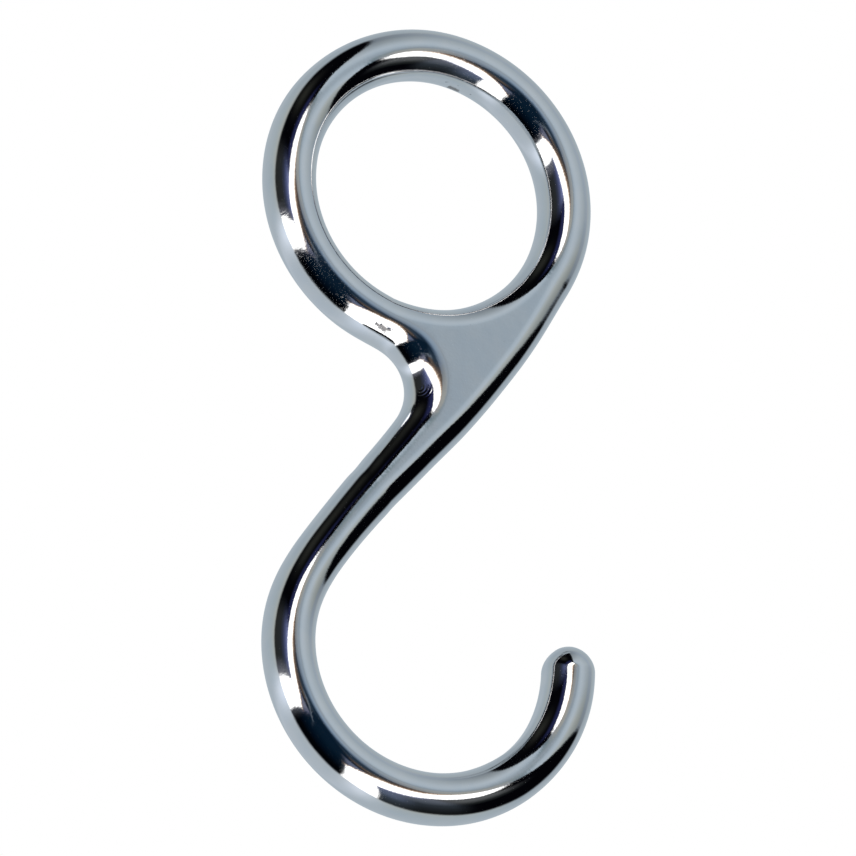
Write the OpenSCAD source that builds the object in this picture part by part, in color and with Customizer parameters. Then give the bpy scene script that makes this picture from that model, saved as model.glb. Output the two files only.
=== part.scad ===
// S hook for a rail: one casting, with a closed ring above, a filled web below it and an open bowl at the bottom.
// Its rod is a rounded oval, deeper from front to back than it is wide.
// Millimetres, +Z up. The hook lies in the XZ plane and its front faces -Y.
// The origin is the centre of the ring, and the open side of the bowl is on +X.

/* [Ring] */
// Inner diameter of the closed ring, which the rail goes through
ring_bore = 23.36; // [23.2:0.02:23.6]
// Width of the rod that forms the ring, in the plane of the hook
ring_rod = 5.04; // [5.02:0.02:5.12]
// Depth of the rods from front to back, as a multiple of their width
oval = 1.17; // [1.14:0.01:1.2]

/* [Bowl] */
// Width of the rod that forms the stem and the bowl, in the plane of the hook
rod = 5; // [4.94:0.02:5]
// Radius of the bowl, to the middle of its rod
bowl_r = 14.3; // [14.2:0.1:14.4]
// Height from the centre of the bowl up to the centre of the ring
drop = 46.6; // [46.4:0.1:46.8]
// Angle of the tip above the centre of the bowl (negative is below it)
tip_angle = -1; // [-12:0.5:4]

/* [Stem] */
// Heading of the stem where it leaves the bowl, above the horizontal
bowl_exit = 69; // [68.5:0.5:69.5]
// Radius of the bend between the bowl and the stem
heel_r = 20; // [19.5:0.5:20.5]
// Heading of the straight part of the stem, above the horizontal
stem_lean = 53; // [52.6:0.2:53.4]
// Length of the straight part of the stem
stem_flat = 0.8; // [0.6:0.1:1.2]
// Flattest heading of the back edge, where its two long curves meet
back_lean = 45.7; // [45.4:0.1:46]
// Angle below the horizontal at which the back edge leaves the ring
back_leave = 29; // [28.8:0.1:29.2]

/* [Bay] */
// Width of the rod that bounds the web on the side of the bay
bay_rod = 4.9; // [4.84:0.02:4.92]
// Radius of the bend round the bay, to the middle of its rod
bay_r = 7; // [6.6:0.1:7.4]
// Direction of the centre of the bay as seen from the centre of the ring
bay_dir = 251.8; // [251:0.1:252.6]
// Straight gap left between the ring's circle and the bay's circle
bay_gap = 0.1; // [0.06:0.02:0.3]

/* [Web] */
// Thickness of the web, a little under the rods that frame it
web_t = 5.5; // [5:0.05:5.5]

/* [Hidden] */
$fn = 96;

// The rod radii step down by a hair from one stretch to the next, so that each stretch
// starts just inside the one before it.
lap = 0.25;
hair = 0.01;
r_ring = ring_rod / 2;
t_web = web_t / oval; // before the whole casting is made deeper
r_rod = rod / 2;
r_bay = bay_rod / 2;
ring_r = ring_bore / 2 + r_ring;

function dir(a) = [cos(a), sin(a)];
function norm2(v) = sqrt(v[0] * v[0] + v[1] * v[1]);

// Bowl and heel: the bowl's centre, where it ends, the heel's centre and where the stem starts.
bowl_c = [0, -drop];
bowl_end = bowl_c + bowl_r * dir(bowl_exit + 90);
heel_c = bowl_end - heel_r * dir(bowl_exit + 90);
stem_a = heel_c + heel_r * dir(stem_lean + 90);
stem_b = stem_a + stem_flat * dir(stem_lean);

// Back edge: from the stem it bends clockwise to back_lean, then counter-clockwise until it meets the ring
// tangentially. The two radii follow from the two ends that they have to join.
ring_in = 90 - back_leave;
ring_p = ring_r * dir(-back_leave);
arc_1 = dir(back_lean + 90) - dir(stem_lean + 90);
arc_2 = dir(ring_in - 90) - dir(back_lean - 90);
span = ring_p - stem_b;
det = arc_1[0] * arc_2[1] - arc_1[1] * arc_2[0];
back_r1 = (span[0] * arc_2[1] - span[1] * arc_2[0]) / det;
back_r2 = (arc_1[0] * span[1] - arc_1[1] * span[0]) / det;
back_c1 = stem_b - back_r1 * dir(stem_lean + 90);
back_m = back_c1 + back_r1 * dir(back_lean + 90);
back_c2 = back_m - back_r2 * dir(back_lean - 90);

// Bay edge: it leaves the ring on the common tangent of the ring's and the bay's circles, goes round
// the bay, and runs straight down to the start of the stem.
bay_c = (ring_r + bay_r + bay_gap) * dir(bay_dir);
bay_leave = bay_dir - acos((ring_r + bay_r) / (ring_r + bay_r + bay_gap));
bay_a = ring_r * dir(bay_leave);
bay_b = bay_c - bay_r * dir(bay_leave);
to_bay = bay_c - stem_a;
bay_lean = atan2(to_bay[1], to_bay[0]) - asin(bay_r / norm2(to_bay));
bay_e = bay_c + bay_r * dir(bay_lean - 90);

// Everything below is drawn with round rods in the XY plane; the last step turns it upright and makes it oval.

// A round rod along part of a circle, from angle a0 to angle a1, with e degrees more at each end
module bend(c, r, a0, a1, rr, e0 = 0, e1 = 0)
    translate([c[0], c[1], 0])
        rotate_extrude(angle = a1 - a0 + e0 + e1, start = a0 - e0, $fn = max(96, 4 * ceil(r)))
            translate([r, 0]) circle(r = rr, $fn = 64);

// A straight round rod from p to q, with e0 and e1 more at its ends
module bar(p, q, rr, e0 = 0, e1 = 0)
    let (v = q - p, l = norm2(v))
        translate([p[0], p[1], 0])
            rotate([0, 0, atan2(v[1], v[0])])
                rotate([0, 90, 0])
                    translate([0, 0, -e0]) cylinder(r = rr, h = l + e0 + e1, $fn = 64);

// Turns a length along a circle of radius r into degrees
function deg(l, r) = l / r * 180 / PI;

module ring() rotate_extrude($fn = 144) translate([ring_r, 0]) circle(r = r_ring, $fn = 64);

module bowl() {
    bend(bowl_c, bowl_r, bowl_exit + 90, 360 + tip_angle, r_rod);
    // Rounded tip
    translate([bowl_c[0] + bowl_r * cos(tip_angle), bowl_c[1] + bowl_r * sin(tip_angle), 0])
        sphere(r = r_rod - 2 * hair, $fn = 64);
}

module stem() {
    bend(heel_c, heel_r, stem_lean + 90, bowl_exit + 90, r_rod - 2 * hair, deg(lap, heel_r), deg(lap, heel_r));
    bar(stem_a, stem_b, r_rod - hair);
    bend(back_c1, back_r1, back_lean + 90, stem_lean + 90, r_rod - 3 * hair, deg(lap, back_r1), deg(lap, back_r1));
    bend(back_c2, back_r2, back_lean - 90, ring_in - 90, r_rod - 2 * hair, 0, deg(4 * lap, back_r2));
}

module bay_edge() {
    bar(bay_a, bay_b, r_bay - hair, 0, lap);
    bend(bay_c, bay_r, bay_lean - 90, bay_leave - 180, r_bay);
    bar(stem_a, bay_e, r_bay - hair, 0, lap);
}

// The web fills the space between the ring, the back edge and the bay edge. Its outline runs inside those rods.
module web()
    translate([0, 0, -t_web / 2])
        linear_extrude(height = t_web)
            polygon(concat(
                [for (i = [0:8]) ring_r * dir(bay_leave + 4 + (360 - back_leave - bay_leave - 6) * i / 8)],
                [for (i = [0:4]) back_c2 + back_r2 * dir(ring_in - 91.5 + (back_lean - ring_in + 1.5) * i / 4)],
                [for (i = [1:2]) back_c1 + back_r1 * dir(back_lean + 90 + 1.8 * i)],
                [bay_e + 0.5 * dir(bay_lean - 90)],
                [for (i = [0:6]) bay_c + (bay_r + 0.3) * dir(bay_lean - 90 + (bay_leave - 90 - bay_lean) * i / 6)]));

module s_hook() color("silver") rotate([90, 0, 0]) scale([1, 1, oval]) {
    ring();
    bowl();
    stem();
    bay_edge();
    web();
}

s_hook();
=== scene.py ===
import math

import bmesh
import bpy
import numpy as np
from mathutils import Matrix, Vector
from mathutils.geometry import delaunay_2d_cdt


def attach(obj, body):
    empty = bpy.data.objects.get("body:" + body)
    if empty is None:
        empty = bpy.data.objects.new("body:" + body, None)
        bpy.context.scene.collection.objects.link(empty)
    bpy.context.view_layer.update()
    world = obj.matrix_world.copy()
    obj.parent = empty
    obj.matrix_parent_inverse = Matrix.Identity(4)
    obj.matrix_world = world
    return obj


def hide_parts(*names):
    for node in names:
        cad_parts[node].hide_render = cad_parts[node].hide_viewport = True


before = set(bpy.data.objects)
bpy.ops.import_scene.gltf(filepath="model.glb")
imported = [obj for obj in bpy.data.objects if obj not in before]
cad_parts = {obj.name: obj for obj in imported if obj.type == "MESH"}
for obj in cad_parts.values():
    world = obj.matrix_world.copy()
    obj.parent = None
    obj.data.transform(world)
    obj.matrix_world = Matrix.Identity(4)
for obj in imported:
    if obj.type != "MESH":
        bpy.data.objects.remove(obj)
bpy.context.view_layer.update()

# ---------------------------------------------------------------------------------------------
# The hook's visible shell. Lengths are millimetres in the plane of the hook (x, z) until the mesh
# is made; y is the depth, and the front faces -Y.
# ---------------------------------------------------------------------------------------------

RING_R = 14.2            # ring, to the middle of its rod
BOWL_R = 14.3            # bowl, to the middle of its rod
BOWL_C = np.array([0.0, -46.6])
TIP_ANGLE = -1.0
BOWL_EXIT, HEEL_R, STEM_LEAN, STEM_FLAT = 69.0, 20.0, 53.0, 0.8
BACK_LEAN, BACK_LEAVE = 45.7, 29.0
BAY_R, BAY_DIR, BAY_GAP = 7.0, 251.8, 0.1
DEPTH = 2.93             # half thickness of the hook, front to back: its rod is an upright oval
FINE = 0.05              # spacing of the dense guide curves
STEP = 0.26              # spacing of the mesh's sections
QUARTER = 26             # faces in a quarter turn of a section
SOFT_EDGE = 0.95         # how much wider than the rod the rounding of the bay's edge is
SOFT = 0.8               # how far a change of curvature is spread along the curves


def unit(a):
    return np.array([math.cos(math.radians(a)), math.sin(math.radians(a))])


def arc(c, r, a0, a1):
    n = max(2, int(math.ceil(abs(math.radians(a1 - a0)) * r / FINE)))
    t = np.radians(np.linspace(a0, a1, n + 1))[:-1]
    return np.c_[c[0] + r * np.cos(t), c[1] + r * np.sin(t)]


def line(p, q):
    n = max(1, int(math.ceil(np.hypot(*(q - p)) / FINE)))
    t = np.linspace(0, 1, n + 1)[:-1, None]
    return p + (q - p) * t


def even(points, step):
    d = np.r_[0, np.cumsum(np.hypot(*np.diff(points, axis=0).T))]
    n = int(round(d[-1] / step))
    s = np.linspace(0, d[-1], n + 1)
    return np.c_[np.interp(s, d, points[:, 0]), np.interp(s, d, points[:, 1])], s


def smooth(points, sigma):
    """Gaussian smoothing along a curve, which leaves arcs on their radius."""
    p, s = even(points, FINE)
    h = int(4 * sigma / FINE)
    k = np.exp(-0.5 * (np.arange(-h, h + 1) * FINE / sigma) ** 2)
    k /= k.sum()

    def run(q):
        pad = np.r_[2 * q[:1] - q[h:0:-1], q, 2 * q[-1:] - q[-2:-h - 2:-1]]
        return np.c_[np.convolve(pad[:, 0], k, "valid"), np.convolve(pad[:, 1], k, "valid")]

    once = run(p)
    return once + (once - run(once)), s   # the second term puts back what smoothing pulls in


# The arcs of the casting, as in its CAD.
bowl_end = BOWL_C + BOWL_R * unit(BOWL_EXIT + 90)
heel_c = bowl_end - HEEL_R * unit(BOWL_EXIT + 90)
stem_a = heel_c + HEEL_R * unit(STEM_LEAN + 90)
stem_b = stem_a + STEM_FLAT * unit(STEM_LEAN)
ring_in = 90 - BACK_LEAVE
ring_p = RING_R * unit(-BACK_LEAVE)
arc_1 = unit(BACK_LEAN + 90) - unit(STEM_LEAN + 90)
arc_2 = unit(ring_in - 90) - unit(BACK_LEAN - 90)
back_r1, back_r2 = np.linalg.solve(np.c_[arc_1, arc_2], ring_p - stem_b)
back_c1 = stem_b - back_r1 * unit(STEM_LEAN + 90)
back_m = back_c1 + back_r1 * unit(BACK_LEAN + 90)
back_c2 = back_m - back_r2 * unit(BACK_LEAN - 90)
bay_c = (RING_R + BAY_R + BAY_GAP) * unit(BAY_DIR)
bay_leave = BAY_DIR - math.degrees(math.acos((RING_R + BAY_R) / (RING_R + BAY_R + BAY_GAP)))
bay_a = RING_R * unit(bay_leave)
bay_b = bay_c - BAY_R * unit(bay_leave)
to_bay = bay_c - stem_a
bay_lean = math.degrees(math.atan2(to_bay[1], to_bay[0]) - math.asin(BAY_R / np.hypot(*to_bay)))
bay_e = bay_c + BAY_R * unit(bay_lean - 90)

# Main curve: from where the back edge leaves the ring, over the ring, round the bay, down the stem
# and round the bowl to the tip.
ORIGIN = np.zeros(2)
RUN_IN = 20.0            # degrees of ring before the start, trimmed after smoothing
main, main_s = smooth(np.r_[
    arc(ORIGIN, RING_R, -BACK_LEAVE - RUN_IN, bay_leave),
    line(bay_a, bay_b),
    arc(bay_c, BAY_R, bay_leave - 180, bay_lean - 90),
    line(bay_e, stem_a),
    arc(heel_c, HEEL_R, STEM_LEAN + 90, BOWL_EXIT + 90),
    arc(BOWL_C, BOWL_R, BOWL_EXIT + 90, 360 + TIP_ANGLE + 15),
], SOFT)
back, back_s = smooth(np.r_[
    arc(ORIGIN, RING_R, -BACK_LEAVE + RUN_IN, -BACK_LEAVE),
    arc(back_c2, back_r2, ring_in - 90, BACK_LEAN - 90),
    arc(back_c1, back_r1, BACK_LEAN + 90, STEM_LEAN + 90),
    line(stem_b, stem_a),
    arc(heel_c, HEEL_R, STEM_LEAN + 90, BOWL_EXIT + 90),
], SOFT)


def near(curve, p):
    return int(np.argmin(np.hypot(*(curve - p).T)))


def leaves(curve, i):
    """The first point past index i that is 0.03 mm outside the ring's circle."""
    return i + int(np.argmax(np.hypot(*curve[i:].T) > RING_R + 0.03))


half = len(main) // 2
j_r0 = leaves(back, near(back, ring_p))
i_r0, i_l0 = near(main[:half], back[j_r0]), leaves(main, near(main[:half], bay_a))
i_bay = near(main, bay_c + BAY_R * unit(15))
i_stem = near(main, stem_a)
i_tip = near(main[half:], BOWL_C + BOWL_R * unit(TIP_ANGLE)) + half

# Above the stem the bay edge and the back edge part very slowly. They count as one rod up to where
# their middles are 0.1 mm apart, and that rod runs midway between them.
beside = np.array([near(back, main[i]) for i in range(i_bay, i_stem + 1)])
lift = back[beside] - main[i_bay:i_stem + 1]
i_s = i_bay + int(np.argmax(np.hypot(*lift.T) < 0.10))
share = np.clip((np.arange(i_bay, i_stem + 1) - (i_s - 2.5 / FINE)) / (2.5 / FINE), 0, 1)
share = 0.5 * share * share * (3 - 2 * share)
main[i_bay:i_stem + 1] += lift * share[:, None]
j_s = near(back, main[i_s])


def frames(curve):
    t = np.gradient(curve, axis=0)
    t /= np.hypot(*t.T)[:, None]
    return t, np.c_[t[:, 1], -t[:, 0]]   # tangent, and the normal to its right


def spline(x, keys):
    """Smooth curve through (x, y) keys."""
    kx, ky = np.array(keys, float).T
    d = np.gradient(ky, kx)
    i = np.clip(np.searchsorted(kx, x) - 1, 0, len(kx) - 2)
    h = kx[i + 1] - kx[i]
    t = np.clip((x - kx[i]) / h, 0, 1)
    a, b = 2 * t**3 - 3 * t**2 + 1, t**3 - 2 * t**2 + t
    c, e = -2 * t**3 + 3 * t**2, t**3 - t**2
    return a * ky[i] + b * h * d[i] + c * ky[i + 1] + e * h * d[i + 1]


# The casting isn't perfectly true: its middle line swings a little about the arcs of the CAD. Keys are
# (mm along the main curve after the bay's deepest point, mm to the right).
SWING = [(-84, 0), (-66, 0), (-59, 0), (-52, 0), (-48, 0.03), (-43, 0.0), (-37, -0.025), (-30, 0.025), (-25, 0.0), (-14, -0.02), (-8, 0),
         (10, 0), (12.5, -0.03), (14.5, -0.06), (16.5, -0.075), (18.5, -0.095), (20.5, -0.13), (22.5, -0.175), (24.5, -0.15),
         (26.5, -0.08), (28.5, -0.035), (31, 0), (36, 0), (45, 0), (73, 0), (77.5, 0.035), (90, 0.035)]
_, main_n = frames(main)
main += main_n * spline((np.arange(len(main)) - i_bay) * FINE, SWING)[:, None]
# The same for the back edge, by mm from where it leaves the ring, to its left.
EDGE_SWING = [(-30, 0), (0, 0.0), (3, 0.05), (5.5, 0.13), (8, 0.165), (11, 0.145), (16, 0.12), (18.5, 0.09), (20.5, 0.03),
              (22.5, 0.0), (25, 0.05), (27, 0.07), (60, 0.07)]
_, back_n = frames(back)
back -= back_n * spline((np.arange(len(back)) - j_r0) * FINE, EDGE_SWING)[:, None]


def pick(curve, i0, i1):
    """Points of the curve about STEP apart, from index i0 to i1."""
    n = max(2, int(round((i1 - i0) * FINE / STEP)))
    return np.round(np.linspace(i0, i1, n + 1)).astype(int)


main_t, main_n = frames(main)
mi = np.unique(np.r_[pick(main, i_r0, i_l0), pick(main, i_l0, i_s), pick(main, i_s, i_tip)])
k_l0, k_s = int(np.where(mi == i_l0)[0][0]), int(np.where(mi == i_s)[0][0])


# Half width of the rod in the plane of the hook, along the main curve (ring angles first).
s_main = mi * FINE
s_r0, s_l0, s_s, s_tip = i_r0 * FINE, i_l0 * FINE, i_s * FINE, i_tip * FINE
s_bay = i_bay * FINE
# (degrees round the ring, half width), then the same round the bowl; the stem lies between them.
ring_w = [(-29, 2.55), (-16, 2.57), (2, 2.553), (20, 2.525), (38, 2.492), (56, 2.478), (92, 2.474), (120, 2.476),
          (134, 2.500), (148, 2.542), (164, 2.551), (182, 2.552), (200, 2.535), (218, 2.508), (236, 2.475)]
bowl_w = [(162, 2.525), (173, 2.535), (189, 2.537), (205, 2.527), (221, 2.524), (237, 2.510), (253, 2.512), (269, 2.502),
          (285, 2.500), (301, 2.476), (315, 2.456), (325, 2.475), (337, 2.530), (350, 2.562), (359, 2.545)]
s_29 = near(main[:half], ring_p) * FINE
keys = [(s_29 + math.radians(a + BACK_LEAVE) * RING_R, w) for a, w in ring_w]
keys += [(s_bay - 6, 2.445), (s_bay - 3, 2.50), (s_bay, 2.55), (s_bay + 2.5, 2.575), (s_bay + 4.5, 2.59), (s_bay + 6.5, 2.535)]
keys += [(s_bay + 8.5, 2.465), (s_bay + 11, 2.475), (s_s - 0.5, 2.56), (s_s, 2.59), (s_s + 2, 2.565), (s_s + 4, 2.525)]
keys += [(s_tip - math.radians(360 + TIP_ANGLE - a) * BOWL_R, w) for a, w in bowl_w]
width = spline(s_main, keys)
# The gate was at the top of the bore, where the metal that stood proud was ground off.
gate = [(-29, 0), (20, 0), (38, 0), (52, 0.03), (65, 0.12), (80, 0.20), (100, 0.21), (112, 0.15), (125, 0.06), (138, 0), (160, 0), (230, 0)]
# The inside of the bowl was ground a little too, from its lowest point to the tip.
inside = [(162, 0), (270, 0), (285, 0.0), (297, 0.06), (310, 0.20), (322, 0.24), (334, 0.20), (346, 0.15), (359, 0.12)]
ground = spline(s_main, [(s_29 + math.radians(a + BACK_LEAVE) * RING_R, g) for a, g in gate] + [(s_bay, 0)]
                + [(s_tip - math.radians(360 + TIP_ANGLE - a) * BOWL_R, g) for a, g in inside])


def matched(points, a, b, reach):
    """Moves the ends of a curve onto a and b, with the change fading over reach."""
    d = np.r_[0, np.cumsum(np.hypot(*np.diff(points, axis=0).T))]
    fa, fb = np.exp(-(d / reach) ** 2)[:, None], np.exp(-((d[-1] - d) / reach) ** 2)[:, None]
    return points + (a - points[0]) * fa + (b - points[-1]) * fb


# The bore's edge along the web: the ring's lower arc, from L0 on to R0.
turn_l0 = math.degrees(math.atan2(main[i_l0][1], main[i_l0][0])) % 360
turn_r0 = math.degrees(math.atan2(main[i_r0][1], main[i_r0][0])) % 360
low = np.r_[arc(ORIGIN, RING_R, turn_l0, turn_r0), [RING_R * unit(turn_r0)]]
low = matched(low, main[i_l0], main[i_r0], 2.0)
low, _ = even(low, FINE)
low_t, low_n = frames(low)

# The back edge, from R0 down to S; its outline is on its left.
edge = matched(back[j_r0:j_s + 1], main[i_r0], main[i_s], 2.0)
edge, _ = even(edge, FINE)
# It leaves the ring at a very flat corner, which the outline fills with this much extra width.
FILL = 1.5
flare = max(0.0, float(np.dot(edge[2] - edge[0], main_n[i_r0]) / np.hypot(*(edge[2] - edge[0]))))


def fill(d):
    return 0.5 * flare * FILL * np.exp(-d / FILL)


edge_t, edge_n = frames(edge)

# Extra width of the soft edge round the bay: the crest there lies further from the outline. It grows
# with the room that there is between this edge, the ring and the back edge.
room = np.array([min(np.hypot(*(edge - main[i]).T).min(), np.hypot(*(low - main[i]).T).min()) for i in mi])
soft_bay = SOFT_EDGE * np.tanh(0.48 * room / SOFT_EDGE)
soft_bay[:k_l0 + 1] = 0
soft_bay[k_s:] = 0

verts, faces = [], []


def put(p):
    """Adds rows of (x, y, z) and returns their indices."""
    start = sum(len(v) for v in verts)
    verts.append(np.asarray(p, float))
    return np.arange(start, start + len(p))


phi = np.radians(np.linspace(0, 90, QUARTER + 1))


def half_section(c, n, w, crest, depth, ground=0.0):
    """Front crest, outline, back crest: half a section on the side n, as 2 * QUARTER + 1 points. The front
    can be cast wider by ground, and ground off at the outline with its corner rounded."""
    a = np.r_[phi[::-1], -phi[1:]]        # 90 .. 0 .. -90
    u = w * np.cos(a)
    if ground > 0.001:
        k = 0.25 * ground
        proud = (w + ground) * np.cos(a[:QUARTER])
        u[:QUARTER] = np.minimum(proud, w) - k * np.log1p(np.exp(-np.abs(proud - w) / k))
    u += crest
    y = -depth * np.sin(a)
    return np.c_[c[0] + n[0] * u, y, c[1] + n[1] * u]


# Sections of the main curve. The right-hand normal points out of the ring and into the bay; the other
# side is the bore of the ring, and along the stem and the bowl the inside of the bowl.
out_rows, in_rows = [], []                # index arrays, front crest .. outline .. back crest
for k, i in enumerate(mi):
    c, n, w, x = main[i], main_n[i], width[k], soft_bay[k]
    full = k <= k_l0 or k >= k_s
    row = put(half_section(c, n, w + x + fill((i - i_r0) * FINE), -x, DEPTH))
    out_rows.append(row)
    if full:
        inner = half_section(c, -n, w, 0.0, DEPTH, ground[k])
        got = put(inner[1:-1])
        in_rows.append(np.r_[row[0], got, row[-1]])
    else:
        in_rows.append(None)


def skin(rows, flip):
    for a, b in zip(rows[:-1], rows[1:]):
        if a is None or b is None:
            continue
        for j in range(len(a) - 1):
            q = (a[j], b[j], b[j + 1], a[j + 1])
            faces.append(q[::-1] if flip else q)


skin(out_rows, False)
skin(in_rows[:k_l0 + 1], True)
skin(in_rows[k_s:], True)

# The bore's edge along the web.
li = pick(low, 0, len(low) - 1)
low_s = li * FINE
low_w = np.interp(li / (len(low) - 1), [0, 1], [width[k_l0], width[0]])
low_w -= 0.075 * np.exp(-(((low_s - 0.37 * low_s[-1]) / (0.23 * low_s[-1])) ** 2)) * np.sin(np.pi * np.clip(low_s / low_s[-1], 0, 1)) ** 0.5
low_rows = [in_rows[k_l0]]
for k, i in enumerate(li[1:-1], 1):
    low_rows.append(put(half_section(low[i], -low_n[i], low_w[k], 0.0, DEPTH)))
low_rows.append(in_rows[0])
skin(low_rows, True)

# The back edge; its outline is on its left.
ei = pick(edge, 0, len(edge) - 1)
edge_w = np.interp(ei / (len(edge) - 1), [0, 0.15, 0.4, 0.85, 1], [width[0], 2.54, 2.50, 2.50, width[k_s]])
edge_rows = [out_rows[0]]
for k, i in enumerate(ei[1:-1], 1):
    edge_rows.append(put(half_section(edge[i], -edge_n[i], edge_w[k] + fill(i * FINE), 0.0, DEPTH)))
edge_rows.append(in_rows[k_s])
skin(edge_rows, True)

# Rounded tip: rings that close on a point.
TIP_LENGTH, TIP_POWER = 2.6, 1.86
c, t, n = main[i_tip], main_t[i_tip], main_n[i_tip]
last = np.r_[out_rows[-1], in_rows[-1][-2:0:-1]]
shape = np.concatenate(verts)[last] - np.array([c[0], 0, c[1]])
tip_rows = [last]
for q in np.linspace(0, 90, 20)[1:-1]:
    f = math.cos(math.radians(q)) ** (2 / TIP_POWER)
    g = math.sin(math.radians(q)) ** (2 / TIP_POWER)
    tip_rows.append(put(np.array([c[0], 0, c[1]]) + shape * f + np.array([t[0], 0, t[1]]) * TIP_LENGTH * g))
pole = put(np.array([[c[0] + t[0] * TIP_LENGTH, 0, c[1] + t[1] * TIP_LENGTH]]))[0]
for a, b in zip(tip_rows[:-1], tip_rows[1:]):
    m = len(a)
    for j in range(m):
        faces.append((a[j], b[j], b[(j + 1) % m], a[(j + 1) % m]))
m = len(tip_rows[-1])
for j in range(m):
    faces.append((tip_rows[-1][j], pole, tip_rows[-1][(j + 1) % m]))

# The web's two faces, between the crests of the ring, the back edge and the bay edge.
rim = np.array([r[0] for r in low_rows] + [r[0] for r in edge_rows[1:]] + [out_rows[k][0] for k in range(k_s - 1, k_l0, -1)])
rim_back = np.array([r[-1] for r in low_rows] + [r[-1] for r in edge_rows[1:]] + [out_rows[k][-1] for k in range(k_s - 1, k_l0, -1)])
co = np.concatenate(verts)
edge2 = co[rim][:, [0, 2]]
gap = 0.42
gx = np.arange(edge2[:, 0].min(), edge2[:, 0].max(), gap)
gz = np.arange(edge2[:, 1].min(), edge2[:, 1].max(), gap * math.sqrt(3) / 2)
grid = np.array([(x + (gap / 2 if j % 2 else 0), z) for j, z in enumerate(gz) for x in gx])


def inside(p, poly):
    a, b = poly, np.roll(poly, -1, axis=0)
    hit = np.zeros(len(p), bool)
    for (x0, y0), (x1, y1) in zip(a, b):
        c = (y0 > p[:, 1]) != (y1 > p[:, 1])
        with np.errstate(divide="ignore", invalid="ignore"):
            hit ^= c & (p[:, 0] < (x1 - x0) * (p[:, 1] - y0) / (y1 - y0) + x0)
    return hit


def to_rim(p, poly):
    a, b = poly, np.roll(poly, -1, axis=0)
    best = np.full(len(p), 1e9)
    for s, e in zip(a, b):
        v = e - s
        t = np.clip(((p - s) @ v) / max(v @ v, 1e-12), 0, 1)
        best = np.minimum(best, np.hypot(*(p - s - t[:, None] * v).T))
    return best


grid = grid[inside(grid, edge2)]
grid = grid[to_rim(grid, edge2) > 0.6 * gap]
points = [Vector((float(x), float(z))) for x, z in np.r_[edge2, grid]]
nr = len(edge2)
rings = [list(range(nr))]
res = delaunay_2d_cdt(points, [], rings, 1, 1e-7)
out_v, out_f, orig = res[0], res[2], res[3]
first = [o[0] if o else -1 for o in orig]
kept = [f for f in out_f if len(f) == 3]
grid_front = put(np.c_[grid[:, 0], np.full(len(grid), -DEPTH), grid[:, 1]])
grid_back = put(np.c_[grid[:, 0], np.full(len(grid), DEPTH), grid[:, 1]])
for f in kept:
    ids = [first[v] for v in f]
    p = [np.array(points[i]) for i in ids]
    area = (p[1][0] - p[0][0]) * (p[2][1] - p[0][1]) - (p[1][1] - p[0][1]) * (p[2][0] - p[0][0])
    if area < 0:
        ids = ids[::-1]
    fr = [rim[i] if i < nr else grid_front[i - nr] for i in ids]
    bk = [rim_back[i] if i < nr else grid_back[i - nr] for i in ids]
    faces.append(tuple(fr))
    faces.append(tuple(bk[::-1]))

co = np.concatenate(verts)

mesh = bpy.data.meshes.new("s_hook_shell")
mesh.from_pydata([tuple(v) for v in co / 1000.0], [], [tuple(int(i) for i in f) for f in faces])
mesh.validate()
mesh.polygons.foreach_set("use_smooth", [True] * len(mesh.polygons))
hook = bpy.data.objects.new("s_hook_shell", mesh)
bpy.context.scene.collection.objects.link(hook)

bm = bmesh.new()
bm.from_mesh(mesh)
bmesh.ops.recalc_face_normals(bm, faces=bm.faces)
bm.to_mesh(mesh)
bm.free()

# ---------------------------------------------------------------------------------------------
# Camera
# ---------------------------------------------------------------------------------------------
TILT, HEADING, ROLL = 27.2, 39.2, 3.115
A, H, R0 = math.radians(TILT), math.radians(HEADING), math.radians(ROLL)
wv, uv = np.array([math.cos(H), math.sin(H)]), np.array([math.sin(H), -math.cos(H)])
turn = np.array([[math.cos(R0), -math.sin(R0)], [math.sin(R0), math.cos(R0)]])


def in_plane(v):
    p = v @ turn.T
    return np.array([p[0], 0.0, p[1]])


W, U, N = in_plane(wv), in_plane(uv), np.array([0.0, -1.0, 0.0])
T = math.cos(A) * W + math.sin(A) * N
cx, cy = uv[0] * U + wv[0] * T, uv[1] * U + wv[1] * T
cz = -math.sin(A) * W + math.cos(A) * N
target = np.array([0.0000279, 0.0, -0.0236517])
DIST = 15000 * 0.09622e-3
cam_data = bpy.data.cameras.new("camera")
cam_data.sensor_width = 36.0
cam_data.lens = 36.0 * 15000 / 856
cam_data.clip_start, cam_data.clip_end = 0.01, 30.0
cam = bpy.data.objects.new("camera", cam_data)
bpy.context.scene.collection.objects.link(cam)
m = Matrix.Identity(4)
for col, v in enumerate((cx, cy, cz)):
    for row in range(3):
        m[row][col] = v[row]
p = target + cz * DIST
for row in range(3):
    m[row][3] = p[row]
cam.matrix_world = m
bpy.context.scene.camera = cam

# ---------------------------------------------------------------------------------------------
# Studio: the surroundings that the chrome mirrors, as a dome of painted reflections that gives off light and is
# seen only by reflections. Painted on it: a pale table behind and below, a grey sweep above it, a light strip bent
# over each side, and the dark room beyond, with the light and shade that fall on the table, sweep and room painted
# in. Directions are in degrees: az round the axis that points out of the hook's front, el towards that axis.
# ---------------------------------------------------------------------------------------------
def lin(r, g, b):
    """Linear light of an sRGB colour given as 0 to 255."""
    c = np.array([r, g, b], float) / 255
    return np.where(c <= 0.04045, c / 12.92, ((c + 0.055) / 1.055) ** 2.4)


def ramp(x, a, b):
    """0 at a, 1 at b, and smooth between them, whichever of the two is larger."""
    t = np.clip((x - a) / np.where(b == a, 1e-9, b - a), 0, 1)
    return t * t * (3 - 2 * t)


def blend(base, top, k):
    return base + (top - base) * np.broadcast_to(k, base.shape[:-1])[..., None]


def keyed(x, *keys):
    kx, ky = np.array(keys, float).T
    return np.interp(x, kx, ky)


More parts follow.
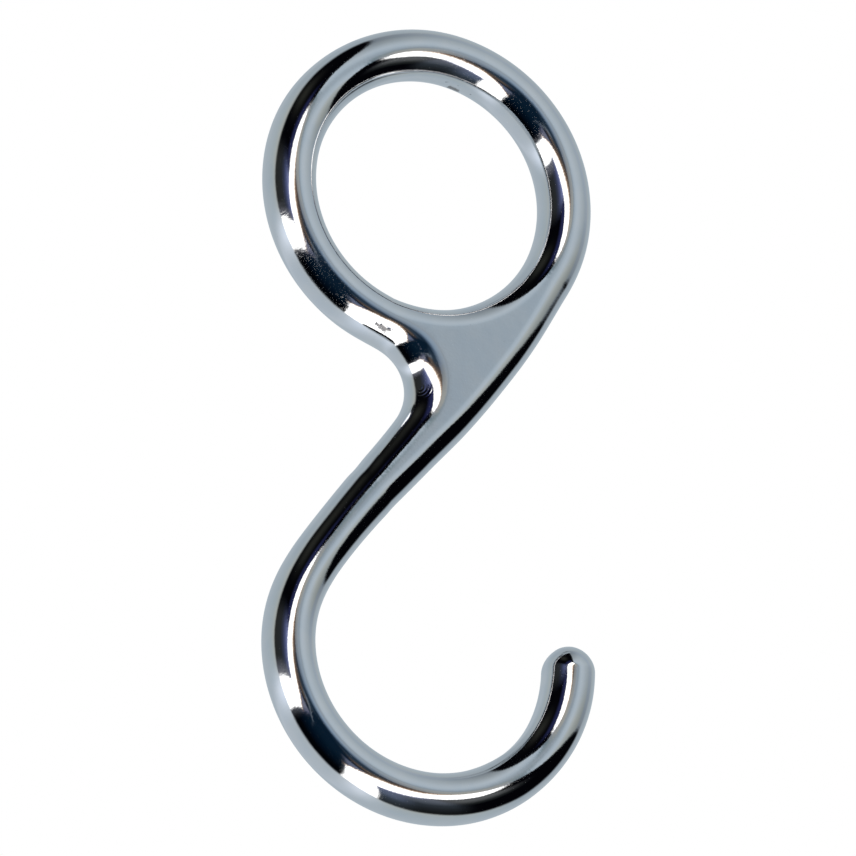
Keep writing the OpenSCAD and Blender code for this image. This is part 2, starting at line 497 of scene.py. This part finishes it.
def shades(x, *keys):
    """A colour that changes along x, by keys (x, (r, g, b))."""
    kx = [k[0] for k in keys]
    return np.stack([np.interp(x, kx, [lin(*k[1])[i] for k in keys]) for i in range(3)], -1)


def spot(az, el, a, e, da, de):
    """A soft round patch of light about (a, e)."""
    return np.exp(-((az - a) / da) ** 2 - ((el - e) / de) ** 2)


# Colour of the painted reflections in each direction: each colour is light given off by the dome.
def studio(az, el):
    side = np.abs(az)

    # The dark room, with what little light there is in it.
    col = np.zeros(az.shape + (3,)) + lin(3, 3, 6)
    far = ramp(side, 156, 166)
    near_post = ramp(az, -100, -114) * (1 - far)
    col = blend(col, shades(el, (0, (37, 38, 37)), (22, (38, 41, 44)), (32, (48, 53, 72)), (41, (72, 80, 116)), (50, (110, 118, 158))), near_post)
    col = blend(col, lin(100, 102, 112), ramp(az, -132, -141) * (1 - far) * 0.8)
    col = blend(col, lin(34, 38, 72), ramp(el, 38, 50) * ramp(az, -112, -98) * ramp(az, -56, -68))
    col = blend(col, lin(36, 37, 34), spot(az, el, -78, 18, 9, 14))
    col = blend(col, shades(el, (0, (20, 22, 23)), (15, (30, 34, 38)), (30, (44, 50, 57)), (42, (78, 84, 94)), (54, (96, 100, 110))), ramp(az, 88, 104) * (1 - far))
    col = blend(col, shades(el, (0, (38, 44, 49)), (15, (50, 58, 68)), (30, (80, 90, 110)), (48, (92, 100, 122))), ramp(az, 118, 134) * (1 - far))
    col = blend(col, shades(el, (25, (3, 3, 6)), (34, (30, 33, 34)), (46, (84, 86, 88))), ramp(az, 60, 74) * ramp(az, 104, 90))
    col = blend(col, shades(el, (10, (2, 3, 6)), (35, (3, 16, 30)), (55, (8, 25, 40))), far)

    # The ceiling: dark over the room, grey over the sweep, with brown light round the strips.
    top = shades(el, (66, (30, 34, 40)), (73, (88, 76, 68)), (75, (76, 68, 64)), (77.5, (50, 55, 62)), (81, (40, 54, 68)), (86, (22, 38, 54)), (90, (18, 32, 46)))
    top = blend(top, lin(9, 26, 42), ramp(side, 134, 158))
    col = blend(col, top, ramp(el, 60, 67))
    grey = shades(el, (60, (134, 142, 150)), (64, (146, 148, 148)), (67, (150, 152, 148)), (70, (140, 142, 141)), (73, (126, 130, 132)), (76, (113, 122, 134)),
                  (79, (93, 105, 120)), (82, (62, 78, 96)), (86, (33, 49, 66)), (90, (18, 32, 46)))
    blue = shades(el, (60, (140, 150, 160)), (64, (138, 149, 160)), (67, (136, 150, 165)), (73, (129, 146, 163)), (76, (122, 141, 160)), (79, (107, 125, 146)),
                  (82, (80, 98, 118)), (86, (42, 58, 76)), (90, (18, 32, 46)))
    grey = blend(grey, blue, np.exp(-(az / (4 + 1.6 * np.clip(el - 62, 0, 40))) ** 2))
    col = blend(col, grey, ramp(el, 58, 61) * ramp(side, keyed(el, (60, 54), (74, 56), (86, 90)), keyed(el, (60, 46), (74, 40), (86, 50))))
    # A thin pale line outside the left strip's corner
    ring = keyed(az, (-171, 40), (-168, 56), (-160, 67), (-150, 74.5), (-130, 78.5), (-110, 80))
    col = blend(col, lin(108, 120, 132), 0.7 * np.exp(-((el - ring) / 1.7) ** 2) * ramp(az, -172, -166) * ramp(az, -112, -132))

    # The grey sweep, which ends in an arch with a darker line round it.
    left = keyed(el, (-90, 46), (0, 47), (15, 47.6), (30, 48.2), (48, 49.5), (52.5, 49), (56, 46.5), (58.5, 41.5), (60.5, 35), (62, 27), (63, 18), (63.9, 7), (64.2, 0))
    right = keyed(el, (-90, 43.5), (0, 44.3), (15, 45.8), (30, 47.2), (45, 48.2), (50, 47.6), (54, 45.8), (57, 41.5), (59, 37), (60.5, 32), (62, 24), (63, 16), (63.9, 5), (64.2, 0))
    over = np.where(az < 0, -az - left, az - right)
    rise = el - keyed(az, (-49, 50), (-46.5, 56), (-41.5, 58.5), (-35, 60.5), (-27, 62), (-18, 63), (-7, 63.9), (5, 63.9), (16, 63), (24, 62), (32, 60.5), (37, 59), (41.5, 57), (45.8, 54), (48, 50))
    line = shades(side, (0, (138, 148, 157)), (27, (116, 131, 138)), (40, (98, 114, 124)))
    col = blend(col, line, ramp(rise, 3.4, 1.0) * ramp(el, 52, 56) * ramp(side, 52, 44))
    sweep = shades(el, (-12, (153, 164, 176)), (5, (149, 161, 172)), (16, (157, 168, 176)), (28, (162, 173, 181)), (40, (167, 178, 187)), (51, (167, 179, 189)),
                   (58, (160, 173, 184)), (61, (150, 163, 174)), (64, (142, 153, 163)))
    # Painted shade: the sweep darkens towards its sides, most low down; it is also a little warmer at az 26 to 40.
    painted_side_shade = keyed(el, (-12, 0.42), (5, 0.40), (16, 0.34), (28, 0.27), (40, 0.15), (50, 0.0))
    sweep = sweep * (1 - painted_side_shade * keyed(side, (14, 0), (27, 0.32), (40, 0.9), (50, 1.25)))[..., None]
    warm = ramp(az, 26, 40) * ramp(el, 4, 14) * ramp(el, 50, 40)
    sweep = sweep * (1 + warm[..., None] * np.array([0.05, 0.0, -0.10]))
    inside = np.where(el < 50, ramp(over, 1.7, -1.7), ramp(rise, 1.0, -1.0) * ramp(over, 2.4, -1.0))
    col = blend(col, sweep, inside)

    # Two light strips: each stands behind on one side and bends forward over the hook.
    for turn, low, high, foot in (
        (-1, ((38, 66.5), (43, 64), (48, 60.5), (53, 58.2), (60, 55.6), (75, 55.2), (98, 55.4), (112, 52.6), (122, 49.4), (132, 46.8), (142, 44.8), (150, 42)),
         ((38, 66.5), (45, 67.5), (55, 69.4), (67, 71), (85, 71.3), (105, 70.2), (117, 69), (130, 66.4), (140, 62.8), (147, 58.6), (152, 54), (156, 49), (158.5, 43)), (142.0, 158.6)),
        (1, ((36, 67.5), (41, 64.2), (47, 60), (54, 56.6), (62, 54.4), (72, 53.8), (85, 56.0), (100, 56.4), (112, 53.0), (122, 49.6), (132, 45.2), (141, 40.8), (150, 38)),
         ((36, 67.5), (42, 68.8), (50, 69.8), (65, 71), (90, 72), (112, 71.6), (122, 69.6), (132, 66.6), (142, 62.2), (149, 57.2), (154, 51.6), (158, 47), (160.8, 42)), (141.2, 161.0))):
        a = az * turn
        lo, hi = keyed(a, *low), keyed(a, *high)
        bar = ramp(el, lo - 0.9, lo + 1.6) * ramp(el, hi - 0.2, hi - 3.6) * ramp(a, low[0][0] - 1, low[0][0] + 12) * ramp(a, foot[1] + 0.6, foot[1] - 0.6)
        post = ramp(a, foot[0] - 0.9, foot[0] + 0.9) * ramp(a, foot[1] + 0.9, foot[1] - 0.9) * ramp(el, lo + 3, lo - 1)
        halo = ramp(el, hi + 3.4, hi - 1) * ramp(el, hi - 6, hi - 3) * ramp(a, 36, 48) * ramp(a, foot[1] + 3, foot[1] - 1)
        col = blend(col, lin(150, 122, 100), 0.8 * halo)
        col = blend(col, lin(132, 138, 176), 0.65 * ramp(el, lo - 4.6, lo) * ramp(el, hi, lo) * ramp(a, 100, 112) * ramp(a, foot[0] + 1, foot[0] - 1))
        col = blend(col, lin(255, 236, 216), 0.9 * ramp(el, hi + 1.0, hi - 1.6) * ramp(el, hi - 6, hi - 3) * ramp(a, low[0][0] + 2, low[0][0] + 14) * ramp(a, foot[1] + 0.6, foot[1] - 0.6))
        col = blend(col, np.array([1.5, 1.5, 1.5]), np.maximum(bar, post))

    # The table, pale grey, with the strips' light painted on it as a bright pool under each strip.
    painted_glow = np.exp(-((az + 150) / 9.0) ** 2) + 0.75 * np.exp(-((az - 150.5) / 9.0) ** 2)
    table = shades(el, (-80, (163, 174, 183)), (-52, (160, 171, 180)), (-38, (157, 169, 178)), (-20, (155, 166, 172)), (-12, (158, 166, 168)), (-6, (160, 165, 163)))
    table = blend(table, lin(172, 182, 192), 0.55 * ramp(side, 118, 165))
    table = blend(table, lin(148, 160, 170), ramp(el, -44, -26) * np.maximum(ramp(side, 90, 66) * ramp(side, 24, 44), 0) * 0.8)
    table = blend(table, lin(214, 224, 238), np.clip(painted_glow, 0, 1) * keyed(el, (-75, 0.1), (-50, 0.25), (-38, 0.42), (-28, 0.62), (-18, 0.85), (-6, 1.0)))
    edge = keyed(az, (-180, -9.5), (-166, -8.5), (-157, -5), (-143, -4.5), (-138, -5.5), (-122, -5.5), (-108, -3.2), (-96, -2), (-85, -3.5), (-70, -8), (-56, -11.3), (-48, -12.5), (44, -13), (52, -17),
                 (60, -18.5), (72, -18), (84, -14), (92, -12.5), (104, -10), (114, -8), (138, -8), (143, -5), (158, -5), (165, -8.5), (180, -9.5))
    soft = keyed(side, (0, 7), (60, 6.5), (90, 5.0), (136, 4.5), (143, 2.2), (158, 2.2), (164, 5.5), (180, 5.5))
    return blend(col, table, ramp(el, edge + soft, edge - soft))


MIRROR = np.array([0.79, 0.80, 0.81])     # the plating's colour, which the studio's light is divided by
CENTRE = np.array([0.0, 0.0, -0.0233])
DOME_R, DOME_AZ, DOME_EL = 1.4, 560, 170
az = np.linspace(-180, 180, DOME_AZ + 1)[:-1]
el = np.interp(np.linspace(0, 1, DOME_EL + 1), [0, 0.16, 0.9, 1], [-90, -24, 76, 90])
AZ, EL = np.meshgrid(az, el)
ca, sa, ce, se = np.cos(np.radians(AZ)), np.sin(np.radians(AZ)), np.cos(np.radians(EL)), np.sin(np.radians(EL))
ray = (ce * ca)[..., None] * W + (ce * sa)[..., None] * U + se[..., None] * N
dome_co = (CENTRE + DOME_R * ray).reshape(-1, 3)
row, colm = np.meshgrid(np.arange(DOME_EL), np.arange(DOME_AZ), indexing="ij")
nxt = (colm + 1) % DOME_AZ
quads = np.stack([row * DOME_AZ + colm, row * DOME_AZ + nxt, (row + 1) * DOME_AZ + nxt, (row + 1) * DOME_AZ + colm], -1).reshape(-1, 4)
dome_mesh = bpy.data.meshes.new("painted_reflection_dome")
dome_mesh.from_pydata(dome_co.tolist(), [], quads.tolist())
shade = studio(AZ, EL).reshape(-1, 3) / MIRROR
tint = dome_mesh.attributes.new("shade", "FLOAT_COLOR", "POINT")
tint.data.foreach_set("color", np.c_[shade, np.ones(len(shade))].astype(np.float32).ravel())
dome = bpy.data.objects.new("painted_reflection_dome", dome_mesh)
bpy.context.scene.collection.objects.link(dome)
lit = bpy.data.materials.new("painted_reflection_light")
lit.use_nodes = True
nt = lit.node_tree
nt.nodes.clear()
out = nt.nodes.new("ShaderNodeOutputMaterial")
painted_glow = nt.nodes.new("ShaderNodeEmission")
read = nt.nodes.new("ShaderNodeAttribute")
read.attribute_name = "shade"
nt.links.new(read.outputs["Color"], painted_glow.inputs["Color"])
nt.links.new(painted_glow.outputs[0], out.inputs["Surface"])
lit.cycles.emission_sampling = "NONE"
dome_mesh.materials.append(lit)
# The dome shows only in glossy reflections: its painted light reaches the plating and nothing else.
for kind in ("camera", "diffuse", "transmission", "volume_scatter", "shadow"):
    setattr(dome, "visible_" + kind, False)

# Pale floor, well below the hook: it doesn't show in the plating, which shows the table painted on the dome instead.
bm = bmesh.new()
bmesh.ops.create_circle(bm, cap_ends=True, segments=96, radius=2.8)
floor_mesh = bpy.data.meshes.new("floor")
bm.to_mesh(floor_mesh)
bm.free()
floor = bpy.data.objects.new("floor", floor_mesh)
floor.location = (0, 0, -0.6)
bpy.context.scene.collection.objects.link(floor)
pale = bpy.data.materials.new("pale_floor")
pale.use_nodes = True
pale.node_tree.nodes["Principled BSDF"].inputs["Base Color"].default_value = (0.86, 0.87, 0.88, 1)
pale.node_tree.nodes["Principled BSDF"].inputs["Roughness"].default_value = 0.9
floor_mesh.materials.append(pale)
floor.visible_glossy = False

world = bpy.data.worlds.new("studio")
bpy.context.scene.world = world
world.use_nodes = True
world.node_tree.nodes["Background"].inputs[0].default_value = (1, 1, 1, 1)
world.cycles_visibility.glossy = False
bpy.context.scene.view_settings.view_transform = "Standard"

# ---------------------------------------------------------------------------------------------
# Chrome plate
# ---------------------------------------------------------------------------------------------
mat = bpy.data.materials.new("chrome_plate")
mat.use_nodes = True
nt = mat.node_tree
plate = nt.nodes["Principled BSDF"]
plate.inputs["Metallic"].default_value = 1.0


def node(kind, **settings):
    n = nt.nodes.new(kind)
    for k, v in settings.items():
        setattr(n, k, v)
    return n


def feed(n, socket, value):
    if isinstance(value, bpy.types.NodeSocket):
        nt.links.new(value, n.inputs[socket])
    else:
        n.inputs[socket].default_value = value


def sums(op, a, b=0.0, c=0.0, clamp=False):
    n = node("ShaderNodeMath", operation=op, use_clamp=clamp)
    for i, v in enumerate((a, b, c)):
        feed(n, i, v)
    return n.outputs[0]


def span(x, a, b, lo=0.0, hi=1.0):
    """x from a to b, smoothly, as lo to hi."""
    n = node("ShaderNodeMapRange", interpolation_type="SMOOTHSTEP")
    for i, v in enumerate((x, a, b, lo, hi)):
        feed(n, i, v)
    return n.outputs[0]


where = node("ShaderNodeTexCoord").outputs["Object"]
n = node("ShaderNodeMapping")
feed(n, "Vector", where)
feed(n, "Scale", (1000.0, 1000.0, 1000.0))
mm = n.outputs[0]                           # the surface in millimetres


def noise(scale, detail=2.0, rough=0.5, stretch=None):
    v = mm
    if stretch:
        m_ = node("ShaderNodeMapping")
        feed(m_, "Vector", mm)
        feed(m_, "Scale", stretch)
        v = m_.outputs[0]
    n = node("ShaderNodeTexNoise")
    for k, v_ in (("Vector", v), ("Scale", scale), ("Detail", detail), ("Roughness", rough)):
        feed(n, k, v_)
    return n.outputs["Fac"]


def at(p, r, soft=0.0):
    """1 near the point p (mm) and 0 beyond r."""
    n = node("ShaderNodeVectorMath", operation="DISTANCE")
    feed(n, 0, mm)
    feed(n, 1, p)
    return span(n.outputs["Value"], r, soft, 0.0, 1.0)


def stroke(a, b, r, soft=0.0, squeeze=1.0):
    """1 near the line from a to b and 0 beyond r, with distances along y times squeeze."""
    flat = (1.0, squeeze, 1.0)
    a, b = (tuple(v * w for v, w in zip(p, flat)) for p in (a, b))
    along = tuple(v - w for v, w in zip(b, a))
    d2 = sum(v * v for v in along)
    q = node("ShaderNodeVectorMath", operation="MULTIPLY")
    feed(q, 0, mm)
    feed(q, 1, flat)
    q2 = node("ShaderNodeVectorMath", operation="SUBTRACT")
    feed(q2, 0, q.outputs[0])
    feed(q2, 1, a)
    dot = node("ShaderNodeVectorMath", operation="DOT_PRODUCT")
    feed(dot, 0, q2.outputs[0])
    feed(dot, 1, tuple(v / d2 for v in along))
    t = sums("MULTIPLY", dot.outputs["Value"], 1.0, clamp=True)
    q3 = node("ShaderNodeVectorMath", operation="SCALE")
    feed(q3, 0, along)
    feed(q3, "Scale", t)
    q4 = node("ShaderNodeVectorMath", operation="DISTANCE")
    feed(q4, 0, q2.outputs[0])
    feed(q4, 1, q3.outputs[0])
    return span(q4.outputs["Value"], r, soft, 0.0, 1.0)


def marks(points, r, soft=0.0):
    found = at(points[0], r, soft)
    for p in points[1:]:
        found = sums("MAXIMUM", found, at(p, r, soft))
    return found


def pits(scale, share_, small, large):
    """Round dimples in some of the cells of a loose lattice."""
    cell = node("ShaderNodeTexVoronoi", feature="F1", distance="EUCLIDEAN")
    feed(cell, "Vector", mm)
    feed(cell, "Scale", scale)
    lot = node("ShaderNodeSeparateColor")
    nt.links.new(cell.outputs["Color"], lot.inputs[0])
    size = sums("MULTIPLY_ADD", lot.outputs[1], large - small, small)
    return sums("MULTIPLY", span(cell.outputs["Distance"], size, 0.0), sums("GREATER_THAN", lot.outputs[0], 1 - share_))


# Height in millimetres: the long waves of hand polishing, a short orange peel, and a fine grain.
height = sums("MULTIPLY", noise(0.24, 2.0), 0.006)
height = sums("MULTIPLY_ADD", noise(0.9, 3.0), 0.0035, height)
height = sums("MULTIPLY_ADD", noise(4.5, 2.0), 0.0018, height)
# Pits all over, but few, and many small ones in the places where the casting under the plate is porous.
dimple = pits(0.85, 0.28, 0.035, 0.105)
height = sums("MULTIPLY_ADD", dimple, -0.005, height)
porous = sums("MAXIMUM", at((-11.6, -2.3, -10.2), 5.0, 2.6), at((9.1, -2.2, 8.6), 3.6, 1.6))
porous = sums("MAXIMUM", porous, sums("MULTIPLY", at((2.0, -1.9, 12.4), 5.0, 1.5), 0.6))
porous = sums("MAXIMUM", porous, at((-1.8, -2.6, -17.2), 1.1, 0.7))
height = sums("MULTIPLY_ADD", sums("MULTIPLY", noise(2.4, 2.0, 0.6), porous), 0.0045, height)
speck = sums("MULTIPLY", span(noise(5.5, 2.0, 0.7), 0.54, 0.66), porous)
# A cold shut in the front of the neck, pinholes by it and on the ring, and ripples in the bay.
shut = stroke((-6.08, -2.33, -14.50), (-5.35, -2.40, -14.93), 0.15, 0.05, 0.3)
shut = sums("MAXIMUM", shut, stroke((-5.62, -2.40, -14.74), (-5.24, -2.43, -14.96), 0.27, 0.13, 0.3))
shut = sums("MAXIMUM", shut, stroke((-5.24, -2.43, -14.92), (-4.74, -2.46, -15.02), 0.16, 0.05, 0.3))
shut = sums("MAXIMUM", shut, sums("MULTIPLY", stroke((-5.10, -2.36, -15.14), (-5.22, -2.20, -15.46), 0.15, 0.04, 0.3), 0.7))
shut = sums("MULTIPLY", shut, span(noise(3.4, 2.0), 0.20, 0.42))
height = sums("MULTIPLY_ADD", shut, -0.012, height)
holes = marks([(-1.91, -2.62, -16.23), (-1.69, -2.57, -16.59)], 0.13)
height = sums("MULTIPLY_ADD", holes, -0.009, height)
height = sums("MULTIPLY_ADD", sums("MULTIPLY", noise(6.0, 1.0), at((-15.45, -2.0, -4.1), 0.75, 0.35)), 0.007, height)
n = node("ShaderNodeVectorMath", operation="DISTANCE")
feed(n, 0, mm)
feed(n, 1, (-1.45, -1.9, -20.3))
ripple = sums("SINE", sums("MULTIPLY", n.outputs["Value"], 18.5))
height = sums("MULTIPLY_ADD", sums("MULTIPLY", ripple, at((-1.15, -2.2, -20.75), 0.95, 0.45)), 0.006, height)
# The gate's scar in the bore: uneven metal, a dark spot and a few nicks.
scar = at((2.9, 0.1, 11.45), 1.5, 0.4)
height = sums("MULTIPLY_ADD", sums("MULTIPLY", noise(1.5, 2.0, 0.6, (2.6, 0.7, 1.0)), scar), 0.10, height)
nicks = sums("MAXIMUM", stroke((1.80, -0.60, 11.68), (2.20, -0.95, 11.72), 0.15, 0.04), stroke((3.02, -0.70, 11.45), (3.44, -1.15, 11.46), 0.15, 0.04))
nicks = sums("MAXIMUM", nicks, marks([(4.52, -0.11, 10.82), (0.98, -1.52, 12.20)], 0.14))
height = sums("MULTIPLY_ADD", nicks, -0.03, height)
stub = stroke((2.52, 0.45, 11.46), (3.36, 0.60, 11.26), 0.29, 0.10, 0.4)
height = sums("MULTIPLY_ADD", stub, -0.05, height)
bump = node("ShaderNodeBump")
feed(bump, "Strength", 1.0)
feed(bump, "Distance", 0.001)
feed(bump, "Height", height)
nt.links.new(bump.outputs[0], plate.inputs["Normal"])

# The plate is a little uneven in its shine and its colour, and duller in the pits and the scar.
haze = span(noise(0.16, 3.0, 0.6), 0.35, 0.70)
dull = sums("MAXIMUM", sums("MULTIPLY", dimple, 0.7), sums("MULTIPLY", scar, 0.35))
shine = sums("MULTIPLY_ADD", haze, 0.03, 0.04)
shine = sums("MULTIPLY_ADD", sums("MULTIPLY", noise(3.2, 3.0, 0.7), haze), 0.03, shine)
shine = sums("MULTIPLY_ADD", dull, 0.16, shine)
shine = sums("MULTIPLY_ADD", speck, 0.13, shine)
nt.links.new(shine, plate.inputs["Roughness"])


def tint(below, how_much, colour):
    m_ = node("ShaderNodeMix", data_type="RGBA")
    feed(m_, 0, how_much)
    if isinstance(below, bpy.types.NodeSocket):
        nt.links.new(below, m_.inputs[6])
    else:
        m_.inputs[6].default_value = below
    m_.inputs[7].default_value = colour
    return m_.outputs[2]


metal = tint((0.765, 0.785, 0.805, 1), span(noise(0.35, 3.0, 0.6), 0.3, 0.7), (0.815, 0.815, 0.815, 1))
metal = tint(metal, sums("MULTIPLY", dimple, 0.35), (0.42, 0.43, 0.45, 1))
metal = tint(metal, sums("MULTIPLY", sums("MAXIMUM", shut, nicks), 0.85), (0.07, 0.065, 0.07, 1))
metal = tint(metal, sums("MULTIPLY", stub, 0.85), (0.12, 0.095, 0.085, 1))
nt.links.new(metal, plate.inputs["Base Color"])
mesh.materials.append(mat)

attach(hook, "root")
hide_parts("s_hook")
